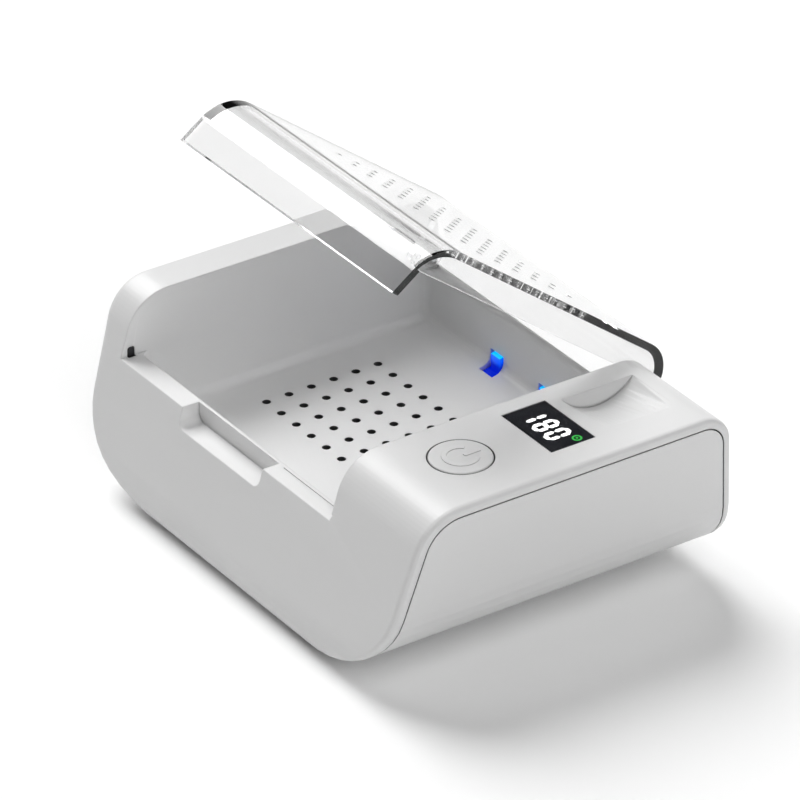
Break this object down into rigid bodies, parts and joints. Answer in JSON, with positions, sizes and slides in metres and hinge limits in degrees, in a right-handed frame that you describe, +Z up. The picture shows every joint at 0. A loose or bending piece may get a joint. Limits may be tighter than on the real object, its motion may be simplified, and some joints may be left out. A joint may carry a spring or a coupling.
{
  "type": "hearing aid dryer box",
  "caption": "White tabletop drying box for small hearing aids: vented chamber, clear hinged lid, power button, lit display and blue lights.",
  "frame": {"origin": "centre of the standing footprint's box, on the surface it stands on, with the lid open as in the picture", "axes": "+X along the length towards the block with the button and display, +Y from the front ledge to the hinge, +Z up"},
  "size_m": [0.1238, 0.0946, 0.0866],
  "materials": {
    "white_shell": "fine satin white moulding",
    "cover_white": "fine satin white moulding",
    "clear_lid": "clear glossy plastic",
    "lens_dark": "glossy dark window",
    "black_plastic": "satin",
    "board_green": "solder mask",
    "chip_black": "matte",
    "capacitor_tan": "matte",
    "steel": "plain",
    "rubber": "matte",
    "blue_guide": "clear blue, lit",
    "lamp": "lit",
    "heater": "matte"
  },
  "bodies": {
    "base": {"base_cover": "cover_white", "board_capacitor_1": "capacitor_tan", "board_capacitor_2": "capacitor_tan", "board_capacitor_3": "capacitor_tan", "board_screw_1": "steel", "board_screw_2": "steel", "board_screw_3": "steel", "board_screw_4": "steel", "button_switch": "black_plastic", "control_board": "board_green", "cover_screw_1": "steel", "cover_screw_2": "steel", "cover_screw_3": "steel", "cover_screw_4": "steel", "display_lens": "lens_dark", "display_module": "black_plastic", "fan_frame": "black_plastic", "fan_screw_1": "steel", "fan_screw_2": "steel", "foot_1": "rubber", "foot_2": "rubber", "foot_3": "rubber", "foot_4": "rubber", "heater_plate": "heater", "hinge_pin_left": "steel", "hinge_pin_right": "steel", "lamp_board": "board_green", "light_guide_left": "blue_guide", "light_guide_right": "blue_guide", "power_socket": "steel", "processor_chip": "chip_black", "side_panel": "white_shell", "upper_housing": "white_shell", "uv_lamp_left": "lamp", "uv_lamp_right": "lamp"},
    "lid": {"lid_cover": "clear_lid"},
    "button": {"power_button": "white_shell"},
    "rotor": {"fan_rotor": "black_plastic"}
  },
  "joints": [
    {"name": "lid_hinge", "type": "hinge", "parent": "base", "child": "lid", "pos_m": [-0.01063, 0.04123, 0.032], "axis": [-1, 0, 0], "range_deg": [-37.4, 57]},
    {"name": "button_press", "type": "slide", "parent": "base", "child": "button", "axis": [0, 0, -1], "range_m": [0, 0.0005], "stiffness_N_per_m": 400},
    {"name": "fan_spin", "type": "hinge", "parent": "base", "child": "rotor", "pos_m": [-0.0256, 0.00519, 0.0108], "axis": [0, 0, 1], "continuous": true}
  ]
}
